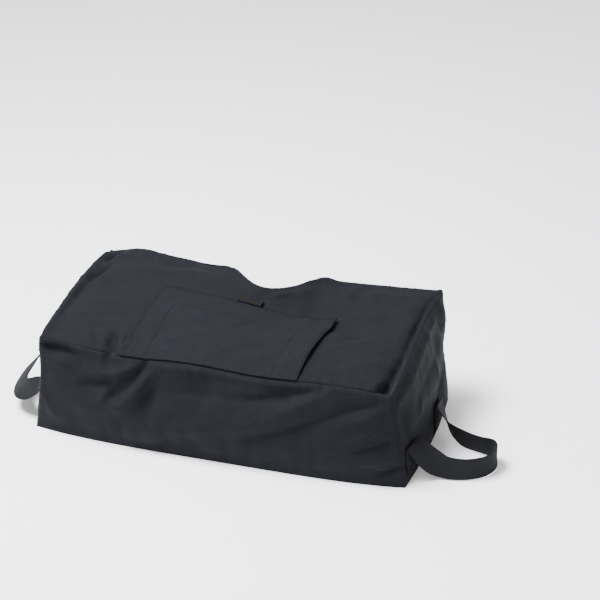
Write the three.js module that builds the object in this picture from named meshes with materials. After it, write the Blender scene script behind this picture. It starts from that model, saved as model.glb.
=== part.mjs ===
import * as THREE from 'three'

// A sandbag for light stands and grip gear. The bag lies on its base with the sand settled in it.
// X runs along the length, the plain front faces -Y, and the notch that takes a pole faces +Y.
// The origin is at the middle of the base, on the floor. All sizes are in millimetres.

// The sewn bag, before the sand settles
const bagLength = 600
const bagWidth = 260
const bagHeight = 180
const fabricThickness = 1.5
const layerGap = 0.4

// The notch for a pole, a rounded hollow in the rear wall
const notchCentre = 17
const notchHalfWidth = 85
const notchDepth = 58
const notchReach = 85

// How the loaded bag settles
const frontRimHeight = 156
const rearRimHeight = 197
const leftRimRise = 10
const rightRimDrop = 5
const rimRampLength = 140
const topSag = 24
const sagCentre = [90, 30]
const sagRadii = [150, 85]
const endLean = 22
const frontLean = 6
const endBulge = 18
const endBaseShare = 0.35
const frontBulge = 18
const frontBaseShare = 0.8

// Fill opening, flap and its hook-and-loop closure
const openingLength = 186
const openingWidth = 96
const openingFrontMargin = 18
const bindingWidth = 10
const bindingThickness = 1.2
const flapCentre = -2
const flapLength = 290
const flapDepth = 160
const flapLayer = 1.2
const flapMargin = 3
const tapeWidth = 38
const tapeThickness = 1.8
const hingeClearance = 0.6

// Pull tab on the free edge of the flap, a folded piece of webbing
const tabWidth = 40
const tabReach = 22
const tabThickness = 3
const tabOffset = 9

// Hook and loop strips on the rear wall, which join two bags around a pole
const stripEndMargin = 12
const stripNotchMargin = 4
const stripTopMargin = 8
const backingMargin = 3
const backingThickness = 1.2

// Webbing handles on both ends
const webbingWidth = 38
const webbingThickness = 2
const anchorY = { front: -99, rear: 15 }
const anchorTop = 64
const anchorBottom = 14
const pivotOffset = 2.4
const handleSections = 30
const floorClearance = 0.8

// Seam bindings inside the bag
const seamTapeGap = 1.5
const seamTapeWidth = 9
const seamTapeThickness = 2

// The two inner liners and their sand
const linerClearance = 4
const linerHalfGap = 2
const linerHeadroom = 26
const linerThickness = 0.8
const sandClearance = 0.4
const neckSize = 40
const neckHeight = 9
const neckSpacing = 84
const tieThickness = 3
const tieHeight = 4

// Spacing of the grid that the flat pieces are built on
const gridStep = 20
const wallStep = 45
const linerStep = 50
const leastStep = 4

const halfLength = bagLength / 2
const halfWidth = bagWidth / 2

const shellFabric = fabricMaterial(0x23252c, 0.82)
const flapFabric = fabricMaterial(0x25272f, 0.8)
const webbing = fabricMaterial(0x2b2e33, 0.75)
const hookTape = fabricMaterial(0x141518, 0.95)
const loopTape = fabricMaterial(0x101114, 0.97)
const seamTape = fabricMaterial(0x17181c, 0.85)
const linerFabric = fabricMaterial(0xb9b7ae, 0.7)
const drySand = fabricMaterial(0xb89b6c, 0.95)
const tieCord = fabricMaterial(0x8c8574, 0.8)

function fabricMaterial(color, roughness) {
  return new THREE.MeshStandardMaterial({ color, roughness, metalness: 0 })
}

function clamp01(value) {
  return Math.min(Math.max(value, 0), 1)
}

// ---- The settled shape of the loaded bag ----

function notchCut(x) {
  const t = (x - notchCentre) / notchHalfWidth
  return Math.abs(t) < 1 ? notchDepth * (1 - t * t) ** 2 : 0
}

function frontRim(x) {
  const rampStart = halfLength - rimRampLength
  const left = clamp01((-x - rampStart) / rimRampLength)
  const right = clamp01((x - rampStart) / rimRampLength)
  return frontRimHeight + leftRimRise * left ** 2 - rightRimDrop * right ** 2
}

// Height of the loaded top above the floor over a point of the sewn plan
function topHeight(x, y) {
  const across = clamp01((y + halfWidth) / bagWidth)
  const front = frontRim(x)
  const slope = front + (rearRimHeight - front) * (1 - (1 - across) ** 2)
  const dx = (x - sagCentre[0]) / sagRadii[0]
  const dy = (y - sagCentre[1]) / sagRadii[1]
  return slope - topSag * (Math.exp(-dx * dx - dy * dy) - rimShare(dx, across))
}

// The part of the sag that the sewn front seam holds up
function rimShare(dx, across) {
  const dy = (-halfWidth - sagCentre[1]) / sagRadii[1]
  return Math.exp(-dx * dx - dy * dy) * (1 - across) ** 3
}

// How much of a wall's bulge it has at a level: a share of it at the base, all of it at mid height
// and none at the top
function swellAt(level, baseShare) {
  return baseShare * (1 - level) + (4 - 2 * baseShare) * level * (1 - level)
}

// Moves a point of the sewn bag to its place on the loaded bag. The base stays flat on the floor.
function settle(x, y, z) {
  const level = clamp01(z / bagHeight)
  const along = x / halfLength
  const across = y / halfWidth
  const endSwell = endBulge * along ** 3 * (1 - clamp01(across * across))
  const settledX = x - endLean * level * along ** 3 + endSwell * swellAt(level, endBaseShare)
  const rearShare = clamp01((y - (halfWidth - notchReach)) / notchReach)
  const frontShare = clamp01(-across)
  const frontSwell = frontBulge * frontShare ** 3 * (1 - clamp01(along ** 4))
  const frontY = frontSwell * swellAt(level, frontBaseShare)
  const settledY = y - notchCut(x) * rearShare + frontLean * level * frontShare - frontY
  const above = Math.max(z - bagHeight, 0)
  return new THREE.Vector3(settledX, settledY, level * topHeight(x, y) + above)
}

// ---- Building closed solids ----

// Grid lines from low to high at the shared spacing, with any extra lines between
function gridLines(low, high, extra = [], step = gridStep) {
  const lines = [low, high, ...extra]
  for (let value = Math.ceil(low / step) * step; value < high; value += step) {
    if (lines.every((line) => Math.abs(line - value) >= leastStep)) {
      lines.push(value)
    }
  }
  return lines.sort((a, b) => a - b)
}

const faceCorners = [
  { step: [-1, 0, 0], corners: [[0, 0, 0], [0, 0, 1], [0, 1, 1], [0, 1, 0]] },
  { step: [1, 0, 0], corners: [[1, 0, 0], [1, 1, 0], [1, 1, 1], [1, 0, 1]] },
  { step: [0, -1, 0], corners: [[0, 0, 0], [1, 0, 0], [1, 0, 1], [0, 0, 1]] },
  { step: [0, 1, 0], corners: [[1, 1, 0], [0, 1, 0], [0, 1, 1], [1, 1, 1]] },
  { step: [0, 0, -1], corners: [[0, 1, 0], [1, 1, 0], [1, 0, 0], [0, 0, 0]] },
  { step: [0, 0, 1], corners: [[0, 0, 1], [1, 0, 1], [1, 1, 1], [0, 1, 1]] },
]

// The closed surface around the filled cells of a grid, moved to its settled place
function cellSolid(xLines, yLines, zLines, isFilled = () => true) {
  const sizes = [xLines.length - 1, yLines.length - 1, zLines.length - 1]
  const filled = (i, j, k) => {
    const inside = [i, j, k].every((index, axis) => index >= 0 && index < sizes[axis])
    return inside && isFilled(i, j, k)
  }
  const positions = []
  const triangles = []
  const known = new Map()
  const vertex = (i, j, k) => {
    const key = `${i},${j},${k}`
    if (!known.has(key)) {
      known.set(key, positions.length / 3)
      positions.push(...settle(xLines[i], yLines[j], zLines[k]).toArray())
    }
    return known.get(key)
  }
  for (let i = 0; i < sizes[0]; i++) {
    for (let j = 0; j < sizes[1]; j++) {
      for (let k = 0; k < sizes[2]; k++) {
        if (!filled(i, j, k)) {
          continue
        }
        for (const { step, corners } of faceCorners) {
          if (filled(i + step[0], j + step[1], k + step[2])) {
            continue
          }
          const [a, b, c, d] = corners.map((corner) => vertex(i + corner[0], j + corner[1], k + corner[2]))
          // Opposite faces split along the same diagonal, so that stacked pieces stay clear
          triangles.push(...(step[1] > 0 || step[2] < 0 ? [a, b, d, b, c, d] : [a, b, c, a, c, d]))
        }
      }
    }
  }
  return closedGeometry(positions, triangles)
}

function closedGeometry(positions, triangles) {
  const geometry = new THREE.BufferGeometry()
  geometry.setAttribute('position', new THREE.Float32BufferAttribute(positions, 3))
  geometry.setIndex(triangles)
  geometry.computeVertexNormals()
  return geometry
}

// A block between two corners of the sewn bag, as [low, high] on each axis
function block([x0, x1], [y0, y1], [z0, z1], { thin, xExtra = [], yStep = gridStep, zStep = gridStep }) {
  const xLines = thin === 'x' ? [x0, x1] : gridLines(x0, x1, xExtra)
  const yLines = thin === 'y' ? [y0, y1] : gridLines(y0, y1, [], yStep)
  const zLines = thin === 'z' ? [z0, z1] : gridLines(z0, z1, [], zStep)
  return cellSolid(xLines, yLines, zLines)
}

// A flat ring or frame: the outer rectangle less the inner one
function frame(outerX, outerY, innerX, innerY, zLines) {
  const xLines = gridLines(outerX[0], outerX[1], innerX)
  const yLines = gridLines(outerY[0], outerY[1], innerY)
  const within = (lines, index, [low, high]) => lines[index] >= low && lines[index + 1] <= high
  const inHole = (i, j) => within(xLines, i, innerX) && within(yLines, j, innerY)
  return cellSolid(xLines, yLines, zLines, (i, j) => !inHole(i, j))
}

// A strap of webbing swept through sections, each with a centre and the direction of its width
function strap(sections, width, thickness) {
  const positions = []
  const triangles = []
  sections.forEach(({ centre, across, along }) => {
    const normal = new THREE.Vector3().crossVectors(along, across).normalize()
    for (const [s, t] of [[-1, -1], [1, -1], [1, 1], [-1, 1]]) {
      const corner = centre.clone()
      corner.addScaledVector(across, (s * width) / 2)
      corner.addScaledVector(normal, (t * thickness) / 2)
      positions.push(...corner.toArray())
    }
  })
  for (let i = 0; i + 1 < sections.length; i++) {
    for (let side = 0; side < 4; side++) {
      const a = 4 * i + side
      const b = 4 * i + ((side + 1) % 4)
      triangles.push(a, b, b + 4, a, b + 4, a + 4)
    }
  }
  const last = 4 * (sections.length - 1)
  triangles.push(0, 2, 1, 0, 3, 2)
  triangles.push(last, last + 1, last + 2, last, last + 2, last + 3)
  return closedGeometry(positions, triangles)
}

const sandbag = new THREE.Group()

function addPiece(name, geometry, material) {
  const mesh = new THREE.Mesh(geometry, material)
  mesh.name = name
  sandbag.add(mesh)
}

// ---- The shell: six panels sewn edge to edge ----

const wallLow = fabricThickness + layerGap
const wallHigh = bagHeight - fabricThickness - layerGap
const wallInset = fabricThickness + layerGap
const opening = {
  x: [flapCentre - openingLength / 2, flapCentre + openingLength / 2],
  y: [-halfWidth + openingFrontMargin, -halfWidth + openingFrontMargin + openingWidth],
}
const fullX = [-halfLength, halfLength]
const fullY = [-halfWidth, halfWidth]

function addShell() {
  const base = block(fullX, fullY, [0, fabricThickness], { thin: 'z', yStep: wallStep })
  addPiece('bottom_panel', base, shellFabric)
  const top = frame(fullX, fullY, opening.x, opening.y, [bagHeight - fabricThickness, bagHeight])
  addPiece('top_panel', top, shellFabric)
  const wallZ = [wallLow, wallHigh]
  // The long walls share the top's grid lines, so that the two stay clear along the notch
  const longWall = { thin: 'y', xExtra: opening.x, zStep: wallStep }
  const front = block(fullX, [-halfWidth, -halfWidth + fabricThickness], wallZ, longWall)
  addPiece('front_panel', front, shellFabric)
  const rear = block(fullX, [halfWidth - fabricThickness, halfWidth], wallZ, longWall)
  addPiece('rear_panel', rear, shellFabric)
  const endY = [-halfWidth + wallInset, halfWidth - wallInset]
  const endWall = { thin: 'x', zStep: wallStep }
  const left = block([-halfLength, -halfLength + fabricThickness], endY, wallZ, endWall)
  addPiece('left_end_panel', left, shellFabric)
  const right = block([halfLength - fabricThickness, halfLength], endY, wallZ, endWall)
  addPiece('right_end_panel', right, shellFabric)
}

// ---- Bindings over the raw edges inside ----

function addSeamBindings() {
  const tapeInset = fabricThickness + seamTapeGap
  const outerX = [-halfLength + tapeInset, halfLength - tapeInset]
  const outerY = [-halfWidth + tapeInset, halfWidth - tapeInset]
  const innerX = [outerX[0] + seamTapeThickness, outerX[1] - seamTapeThickness]
  const innerY = [outerY[0] + seamTapeThickness, outerY[1] - seamTapeThickness]
  const lowZ = [tapeInset, tapeInset + seamTapeWidth]
  const highZ = [bagHeight - tapeInset - seamTapeWidth, bagHeight - tapeInset]
  addPiece('bottom_seam_binding', frame(outerX, outerY, innerX, innerY, lowZ), seamTape)
  addPiece('top_seam_binding', frame(outerX, outerY, innerX, innerY, highZ), seamTape)
  const cornerZ = [lowZ[1] + layerGap, highZ[0] - layerGap]
  for (const [endName, endSide] of [['left', -1], ['right', 1]]) {
    for (const [sideName, side] of [['front', -1], ['rear', 1]]) {
      const x = [endSide * outerX[1], endSide * (outerX[1] - seamTapeThickness)].sort((a, b) => a - b)
      const y = [side * outerY[1], side * (outerY[1] - seamTapeWidth)].sort((a, b) => a - b)
      addPiece(`${endName}_${sideName}_seam_binding`, block(x, y, cornerZ, {}), seamTape)
    }
  }
}

function addOpeningBinding() {
  const outerX = [opening.x[0] - bindingWidth, opening.x[1] + bindingWidth]
  const outerY = [opening.y[0] - bindingWidth, opening.y[1] + bindingWidth]
  const high = bagHeight - fabricThickness - layerGap
  const z = [high - bindingThickness, high]
  addPiece('opening_binding', frame(outerX, outerY, opening.x, opening.y, z), seamTape)
}

// ---- The flap, its closure tapes and its pull tab ----

const flapX = [flapCentre - flapLength / 2, flapCentre + flapLength / 2]
const flapY = [-halfWidth + hingeClearance, -halfWidth + flapDepth]
const topTapeZ = bagHeight + layerGap
const flapTapeZ = topTapeZ + tapeThickness + layerGap
const liningZ = flapTapeZ + tapeThickness + layerGap
const coverZ = liningZ + flapLayer + layerGap

// The three tapes around the opening: two down the sides and one along the free edge
function closureTapes() {
  const sideY = [opening.y[0], flapY[1] - flapMargin - tapeWidth - layerGap]
  return {
    left: { x: [flapX[0] + flapMargin, flapX[0] + flapMargin + tapeWidth], y: sideY },
    right: { x: [flapX[1] - flapMargin - tapeWidth, flapX[1] - flapMargin], y: sideY },
    rear: {
      x: [flapX[0] + flapMargin, flapX[1] - flapMargin],
      y: [flapY[1] - flapMargin - tapeWidth, flapY[1] - flapMargin],
    },
  }
}

function addClosure() {
  for (const [side, { x, y }] of Object.entries(closureTapes())) {
    const loopZ = [topTapeZ, topTapeZ + tapeThickness]
    const hookZ = [flapTapeZ, flapTapeZ + tapeThickness]
    addPiece(`${side}_opening_loop_tape`, block(x, y, loopZ, { thin: 'z' }), loopTape)
    addPiece(`${side}_flap_hook_tape`, block(x, y, hookZ, { thin: 'z' }), hookTape)
  }
}

function addFlap() {
  const lining = block(flapX, flapY, [liningZ, liningZ + flapLayer], { thin: 'z' })
  addPiece('flap_lining', lining, flapFabric)
  const cover = block(flapX, flapY, [coverZ, coverZ + flapLayer], { thin: 'z' })
  addPiece('flap_cover', cover, flapFabric)
  const tabCentre = flapCentre + tabOffset
  const tabX = [tabCentre - tabWidth / 2, tabCentre + tabWidth / 2]
  const tabY = [flapY[1] + layerGap, flapY[1] + layerGap + tabReach]
  addPiece('pull_tab', block(tabX, tabY, [liningZ, liningZ + tabThickness], { thin: 'z' }), webbing)
}

// ---- Hook and loop strips on the rear wall ----

function addRearStrips() {
  const top = bagHeight - stripTopMargin
  const stripZ = [top - tapeWidth, top]
  const backingZ = [stripZ[0] - backingMargin, wallHigh]
  const backingY = [halfWidth + layerGap, halfWidth + layerGap + backingThickness]
  const stripY = [backingY[1] + layerGap, backingY[1] + layerGap + tapeThickness]
  const notchEdge = notchHalfWidth + stripNotchMargin
  const leftX = [-halfLength + stripEndMargin, notchCentre - notchEdge]
  const rightX = [notchCentre + notchEdge, halfLength - stripEndMargin]
  addPiece('left_strip_backing', block(leftX, backingY, backingZ, { thin: 'y' }), shellFabric)
  addPiece('right_strip_backing', block(rightX, backingY, backingZ, { thin: 'y' }), shellFabric)
  const inset = ([low, high]) => [low + backingMargin, high - backingMargin]
  addPiece('rear_hook_strip', block(inset(leftX), stripY, stripZ, { thin: 'y' }), hookTape)
  addPiece('rear_loop_strip', block(inset(rightX), stripY, stripZ, { thin: 'y' }), loopTape)
}

// ---- Handles: a loop of webbing on each end, sewn down at two places ----

// Where the loop runs between its two ends: how far out past the end of the base, the place
// across the bag and the height of the middle of the strap, how far the strap has turned from flat
// at the front end to flat at the rear end, and how far its upper edge leans toward the bag
const onEdge = floorClearance + webbingWidth / 2
const handleRoutes = {
  right: [
    { out: 11, y: -99, z: 53, turn: 12, lean: 0 },
    { out: 21, y: -98, z: 42, turn: 38, lean: 0 },
    { out: 44, y: -92, z: 23, turn: 80, lean: 0 },
    { out: 78, y: -87, z: onEdge, turn: 90, lean: 0 },
    { out: 105, y: -71, z: onEdge, turn: 90, lean: 0 },
    { out: 117, y: -44, z: onEdge, turn: 90, lean: 0 },
    { out: 109, y: -22, z: onEdge, turn: 98, lean: 0 },
    { out: 86, y: -16, z: onEdge, turn: 104, lean: 0 },
    { out: 56, y: -8, z: 22, turn: 102, lean: 0 },
    { out: 35, y: 1, z: 32, turn: 118, lean: 0 },
    { out: 21, y: 11, z: 50, turn: 146, lean: 0 },
    { out: 15, y: 14, z: 62, turn: 170, lean: 0 },
  ],
  left: [
    { out: 10, y: -99, z: 59, turn: 14, lean: 8 },
    { out: 19, y: -100, z: 54, turn: 36, lean: 20 },
    { out: 33, y: -98, z: 46, turn: 66, lean: 36 },
    { out: 50, y: -87, z: 40, turn: 84, lean: 46 },
    { out: 60, y: -68, z: 40, turn: 90, lean: 47 },
    { out: 60, y: -46, z: 46, turn: 94, lean: 47 },
    { out: 57, y: -24, z: 53, turn: 96, lean: 44 },
    { out: 50, y: -4, z: 60, turn: 102, lean: 38 },
    { out: 39, y: 8, z: 65, turn: 118, lean: 24 },
    { out: 27, y: 13, z: 68, turn: 148, lean: 10 },
  ],
}

// One end of a handle: its pivot, just clear of the wall above its sewn-down end, and the way that
// the wall runs there
function handleEnd(side, place) {
  const outer = side * (halfLength + layerGap + webbingThickness)
  const centre = settle(outer, anchorY[place], anchorTop)
  centre.add(new THREE.Vector3(side * pivotOffset, 0, pivotOffset))
  const low = settle(outer, anchorY[place] - webbingWidth / 2, anchorTop)
  const high = settle(outer, anchorY[place] + webbingWidth / 2, anchorTop)
  return { centre, wall: high.sub(low).normalize() }
}

function handleSectionsFor(side, route) {
  const ends = { front: handleEnd(side, 'front'), rear: handleEnd(side, 'rear') }
  const middle = route.map(({ out, y, z }) => new THREE.Vector3(side * (halfLength + out), y, z))
  const turns = [0, ...route.map(({ turn }) => turn), 180]
  const leans = [0, ...route.map(({ lean }) => lean), 0]
  const points = [ends.front.centre, ...middle, ends.rear.centre]
  const curve = new THREE.CatmullRomCurve3(points, false, 'centripetal')
  const spans = turns.length - 1
  const sections = []
  for (let i = 0; i <= handleSections; i++) {
    const t = i / handleSections
    const span = Math.min(Math.floor(t * spans), spans - 1)
    const between = (values) => THREE.MathUtils.lerp(values[span], values[span + 1], t * spans - span)
    const turn = THREE.MathUtils.degToRad(between(turns))
    const lean = THREE.MathUtils.degToRad(between(leans))
    const along = curve.getTangent(t)
    const raised = new THREE.Vector3(-side * Math.sin(lean), 0, Math.cos(lean))
    const flat = ends.front.wall.clone().lerp(ends.rear.wall, t)
    const across = flat.multiplyScalar(Math.cos(turn)).addScaledVector(raised, Math.sin(turn))
    across.addScaledVector(along, -across.dot(along)).normalize()
    sections.push({ centre: curve.getPoint(t), across, along })
  }
  return sections
}

function addHandles() {
  for (const [name, side] of [['left', -1], ['right', 1]]) {
    const sections = handleSectionsFor(side, handleRoutes[name])
    addPiece(`${name}_handle`, strap(sections, webbingWidth, webbingThickness), webbing)
    const near = halfLength + layerGap
    const x = [side * near, side * (near + webbingThickness)].sort((a, b) => a - b)
    for (const [place, middle] of Object.entries(anchorY)) {
      const y = [middle - webbingWidth / 2, middle + webbingWidth / 2]
      const sewnEnd = block(x, y, [anchorBottom, anchorTop], { thin: 'x' })
      addPiece(`${name}_handle_${place}_sewn_end`, sewnEnd, webbing)
    }
  }
}

// ---- Liners with the sand in them, one on each side of the notch ----

function addFill() {
  const linerInset = fabricThickness + seamTapeGap + seamTapeThickness + linerClearance
  const outer = halfLength - linerInset
  const y1 = halfWidth - linerInset
  const low = fabricThickness + layerGap
  const high = bagHeight - linerHeadroom
  const neckY = (opening.y[0] + opening.y[1]) / 2
  const limits = {
    left: [-outer, notchCentre - linerHalfGap],
    right: [notchCentre + linerHalfGap, outer],
  }
  for (const [name, x] of Object.entries(limits)) {
    const toward = name === 'left' ? -1 : 1
    const neckX = flapCentre + toward * (neckSpacing / 2) + (toward > 0 ? notchCentre - flapCentre : 0)
    addLiner(name, x, [-y1, y1], [low, high], [neckX, neckY])
  }
}

// The sand's grid lines: those inside the liner's wall, with the end ones drawn in a little
function linesWithin(lines) {
  const within = lines.slice(1, -1)
  within[0] += sandClearance
  within[within.length - 1] -= sandClearance
  return within
}

function addLiner(name, x, y, z, neckCentre) {
  const inset = ([a, b], by) => [a + by, b - by]
  const neckX = [neckCentre[0] - neckSize / 2, neckCentre[0] + neckSize / 2]
  const neckY = [neckCentre[1] - neckSize / 2, neckCentre[1] + neckSize / 2]
  const boreX = inset(neckX, linerThickness)
  const boreY = inset(neckY, linerThickness)
  const inner = { x: inset(x, linerThickness), y: inset(y, linerThickness), z: inset(z, linerThickness) }
  const xLines = gridLines(x[0], x[1], [...inner.x, ...neckX, ...boreX], linerStep)
  const yLines = gridLines(y[0], y[1], [...inner.y, ...neckY, ...boreY], linerStep)
  const zLines = [z[0], inner.z[0], (z[0] + z[1]) / 2, inner.z[1], z[1], z[1] + neckHeight]
  const inside = (lines, index, [low, high]) => lines[index] >= low - 1e-6 && lines[index + 1] <= high + 1e-6
  const liner = cellSolid(xLines, yLines, zLines, (i, j, k) => {
    const inBore = inside(xLines, i, boreX) && inside(yLines, j, boreY)
    const inNeck = inside(xLines, i, neckX) && inside(yLines, j, neckY)
    const inPlan = inside(xLines, i, inner.x) && inside(yLines, j, inner.y)
    const inCavity = inPlan && inside(zLines, k, inner.z)
    const aboveTop = zLines[k] >= z[1]
    return aboveTop ? inNeck && !inBore : !inCavity && !(inBore && zLines[k] >= inner.z[1])
  })
  addPiece(`${name}_liner`, liner, linerFabric)
  const sand = [xLines, yLines, zLines.slice(0, -1)].map(linesWithin)
  addPiece(`${name}_sand_fill`, cellSolid(...sand), drySand)
  const tieLow = z[1] + (neckHeight - tieHeight) / 2
  const grown = ([a, b], by) => [a - by, b + by]
  const reach = layerGap + tieThickness
  const tie = frame(
    grown(neckX, reach),
    grown(neckY, reach),
    grown(neckX, layerGap),
    grown(neckY, layerGap),
    [tieLow, tieLow + tieHeight],
  )
  addPiece(`${name}_neck_tie`, tie, tieCord)
}

addShell()
addSeamBindings()
addOpeningBinding()
addClosure()
addFlap()
addRearStrips()
addHandles()
addFill()

export default sandbag
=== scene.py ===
import math

import bmesh
import bpy
from mathutils import Matrix, Vector, noise
from mathutils.kdtree import KDTree


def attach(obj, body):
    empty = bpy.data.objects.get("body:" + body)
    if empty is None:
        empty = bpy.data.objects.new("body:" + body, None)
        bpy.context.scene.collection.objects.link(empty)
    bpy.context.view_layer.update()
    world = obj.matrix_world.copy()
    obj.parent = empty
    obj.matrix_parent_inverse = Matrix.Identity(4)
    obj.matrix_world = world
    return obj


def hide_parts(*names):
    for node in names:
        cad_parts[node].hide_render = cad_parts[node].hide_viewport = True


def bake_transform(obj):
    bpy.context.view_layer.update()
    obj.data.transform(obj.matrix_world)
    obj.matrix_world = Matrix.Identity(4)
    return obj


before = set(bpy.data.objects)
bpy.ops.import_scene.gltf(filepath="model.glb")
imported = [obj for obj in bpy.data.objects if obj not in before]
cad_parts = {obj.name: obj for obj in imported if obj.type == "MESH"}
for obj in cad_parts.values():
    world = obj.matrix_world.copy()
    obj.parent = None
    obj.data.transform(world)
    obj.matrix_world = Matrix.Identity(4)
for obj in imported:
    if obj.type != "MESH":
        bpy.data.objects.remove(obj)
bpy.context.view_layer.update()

# ---- Camera, light and floor ----

camera = {"place": (0.823, -2.035, 1.377), "turn": 19.6, "rise": 28.2, "roll": -1.85, "lens": 97.0}
# Name, place, width and height, watts and colour
lamps = [
    ("overheadLight", (-0.7, -0.45, 2.4), (1.1, 0.9), 250, (0.92, 0.94, 1.0)),
    ("sideLight", (2.2, -1.2, 1.2), (1.2, 1.6), 14, (1.0, 0.98, 0.95)),
]
lampTarget = (0, 0, 0.1)
skyStrength = 1.12


def placeCamera(settings):
    data = bpy.data.cameras.new("camera")
    data.lens = settings["lens"]
    data.sensor_width = 36
    eye = bpy.data.objects.new("camera", data)
    turn = Matrix.Rotation(math.radians(settings["turn"]), 4, "Z")
    rise = Matrix.Rotation(math.radians(90 - settings["rise"]), 4, "X")
    roll = Matrix.Rotation(math.radians(settings["roll"]), 4, "Z")
    eye.matrix_world = Matrix.Translation(settings["place"]) @ turn @ rise @ roll
    bpy.context.scene.collection.objects.link(eye)
    bpy.context.scene.camera = eye


def addLamp(name, place, size, watts, colour):
    data = bpy.data.lights.new(name, "AREA")
    data.shape = "RECTANGLE"
    data.size, data.size_y = size
    data.energy = watts
    data.color = colour
    lamp = bpy.data.objects.new(name, data)
    turn = (Vector(place) - Vector(lampTarget)).to_track_quat("Z", "Y").to_matrix().to_4x4()
    lamp.matrix_world = Matrix.Translation(place) @ turn
    bpy.context.scene.collection.objects.link(lamp)


placeCamera(camera)
for facts in lamps:
    addLamp(*facts)
print("camera and lights placed")


# ---- Shader maths ----

class Value:
    # Wraps a shader socket, so that sums and products of sockets add their own Math nodes
    def __init__(self, tree, socket):
        self.tree = tree
        self.socket = socket

    def maths(self, operation, *others):
        return self.tree.node("ShaderNodeMath", {"operation": operation}, [self, *others])

    def __add__(self, other):
        return self.maths("ADD", other)

    __radd__ = __add__

    def __sub__(self, other):
        return self.maths("SUBTRACT", other)

    def __rsub__(self, other):
        return self.tree.node("ShaderNodeMath", {"operation": "SUBTRACT"}, [other, self])

    def __mul__(self, other):
        return self.maths("MULTIPLY", other)


class Finish:
    # One material and the nodes in it
    def __init__(self, name, **constants):
        self.material = bpy.data.materials.new(name)
        self.material.use_nodes = True
        self.nodes = self.material.node_tree.nodes
        self.links = self.material.node_tree.links
        self.nodes.clear()
        self.shader = self.nodes.new("ShaderNodeBsdfPrincipled")
        output = self.nodes.new("ShaderNodeOutputMaterial")
        self.links.new(self.shader.outputs[0], output.inputs["Surface"])
        for socket, value in constants.items():
            self.shader.inputs[socket].default_value = value

    def node(self, kind, settings, values=(), out=0):
        made = self.nodes.new(kind)
        for name, value in settings.items():
            setattr(made, name, value)
        pairs = values.items() if isinstance(values, dict) else enumerate(values)
        for name, value in pairs:
            if isinstance(value, Value):
                self.links.new(value.socket, made.inputs[name])
            else:
                made.inputs[name].default_value = value
        return Value(self, made.outputs[out])

    def feed(self, socket, value):
        self.links.new(value.socket, self.shader.inputs[socket])

    def noise(self, where, scale, detail=2.0, rough=0.5):
        values = {"Vector": where, "Scale": scale, "Detail": detail, "Roughness": rough}
        return self.node("ShaderNodeTexNoise", {"noise_dimensions": "3D"}, values)

    def cells(self, where, scale, randomness):
        values = {"Vector": where, "Scale": scale, "Randomness": randomness}
        return self.node("ShaderNodeTexVoronoi", {"feature": "F1"}, values)

    def place(self):
        return self.node("ShaderNodeTexCoord", {}, out="Object")

    def flatPlace(self):
        # Across and along the piece's flat pattern, in metres
        where = self.node("ShaderNodeUVMap", {"uv_map": "flatPattern"})
        parts = self.nodes.new("ShaderNodeSeparateXYZ")
        self.links.new(where.socket, parts.inputs[0])
        return Value(self, parts.outputs[0]), Value(self, parts.outputs[1])

    def blend(self, factor, low, high):
        made = self.nodes.new("ShaderNodeMix")
        made.data_type = "RGBA"
        self.links.new(factor.socket, made.inputs["Factor"])
        for name, value in (("A", low), ("B", high)):
            target = [one for one in made.inputs if one.name == name and one.type == "RGBA"][0]
            target.default_value = value
        return Value(self, [one for one in made.outputs if one.type == "RGBA"][0])

    def bump(self, height, strength, distance, under=None):
        values = {"Height": height, "Strength": strength, "Distance": distance}
        if under is not None:
            values["Normal"] = under
        return self.node("ShaderNodeBump", {}, values)

    def threads(self, pitch):
        # Over-and-under of a plain weave
        across, down = ((value * (math.pi / pitch)).maths("SINE") for value in self.flatPlace())
        turn = (across * down).maths("SIGN") * 0.5 + 0.5
        return across.maths("ABSOLUTE") * turn + down.maths("ABSOLUTE") * (1 - turn)


def grey(red, green, blue):
    return (red, green, blue, 1.0)


def wovenFabric(name, dark, pale, pitch, threadDepth, roughness, sheen):
    finish = Finish(name, **{"Sheen Weight": sheen, "Sheen Roughness": 0.45, "Specular IOR Level": 0.05})
    finish.shader.inputs["Sheen Tint"].default_value = grey(0.82, 0.84, 1.0)
    where = finish.place()
    cloud = finish.noise(where, 9.0, 3.0)
    fleck = finish.noise(where, 900.0, 1.0)
    rub = finish.noise(where, 60.0, 4.0, 0.65)
    weave = finish.threads(pitch)
    tone = cloud * 0.1 + fleck * 0.6 + rub * 0.3
    contrast = (tone - 0.36) * 2.4
    shade = contrast.maths("MAXIMUM", 0.0).maths("MINIMUM", 1.0) * 0.75 + weave * 0.25
    finish.feed("Base Color", finish.blend(shade, dark, pale))
    finish.feed("Roughness", roughness + (rub - 0.5) * 0.18 + (1 - weave) * 0.05)
    crumple = finish.bump(rub * 0.7 + cloud * 0.3, 0.35, 0.0012)
    finish.feed("Normal", finish.bump(weave, 0.55, threadDepth, crumple))
    return finish.material


cordPitch = 0.0021


def ribbedWebbing(name, dark, pale, rib, roughness):
    # Ribs run across the strap, and finer cords along it
    finish = Finish(name, **{"Sheen Weight": 0.01, "Sheen Roughness": 0.5, "Specular IOR Level": 0.05})
    across, down = finish.flatPlace()
    cords = (across * (math.pi / cordPitch)).maths("SINE")
    step = cords.maths("SIGN") * (rib * 0.25)
    ribs = ((down + step) * (math.pi / rib)).maths("SINE").maths("ABSOLUTE")
    height = ribs * 0.65 + cords.maths("ABSOLUTE") * 0.35
    fuzz = finish.noise(finish.place(), 700.0, 2.0)
    finish.feed("Base Color", finish.blend(height * 0.6 + fuzz * 0.4, dark, pale))
    finish.feed("Roughness", roughness + (fuzz - 0.5) * 0.2)
    finish.feed("Normal", finish.bump(height * 0.85 + fuzz * 0.15, 0.7, 0.0007))
    return finish.material


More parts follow.
